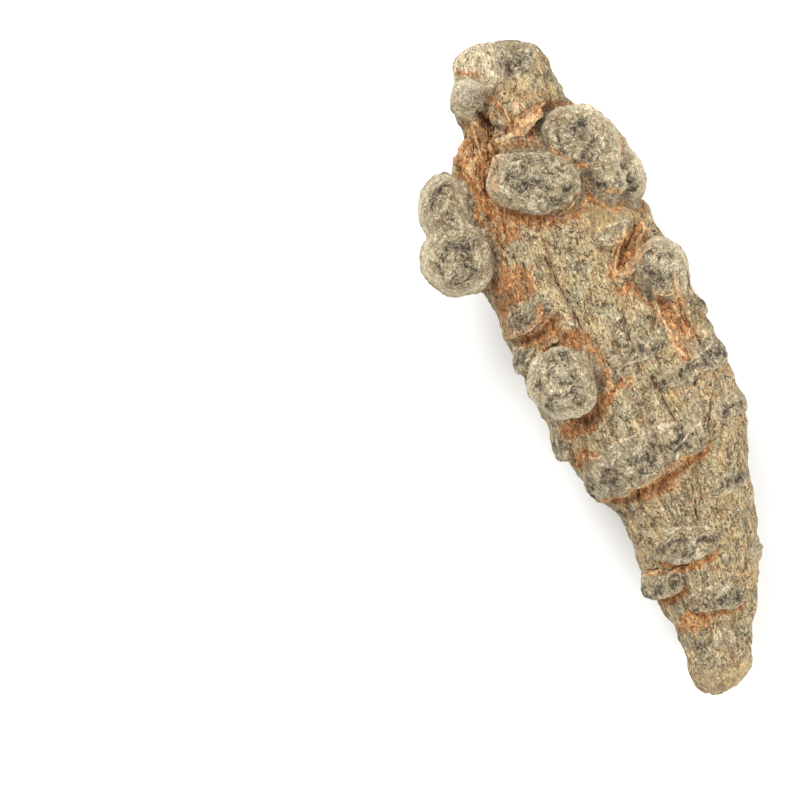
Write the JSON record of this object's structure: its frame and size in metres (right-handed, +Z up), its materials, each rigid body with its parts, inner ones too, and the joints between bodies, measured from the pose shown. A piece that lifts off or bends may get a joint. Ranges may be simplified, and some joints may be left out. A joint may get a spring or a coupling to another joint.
{
  "type": "dried notoginseng root",
  "caption": "Whole dried notoginseng root, tapering from a knobbly crown and stem stump to a blunt tip, lying on its back on small flat spots.",
  "frame": {"origin": "on the surface that the root lies on, under the middle of its bounding box", "axes": "+Y along the taproot from the tip to the crown, +X to the right seen from above with the crown away from you, +Z up from the surface"},
  "size_m": [0.0264, 0.0696, 0.0207],
  "materials": {
    "root_skin": "matte"
  },
  "bodies": {
    "root": {"notoginseng_root": "root_skin"}
  },
  "joints": []
}
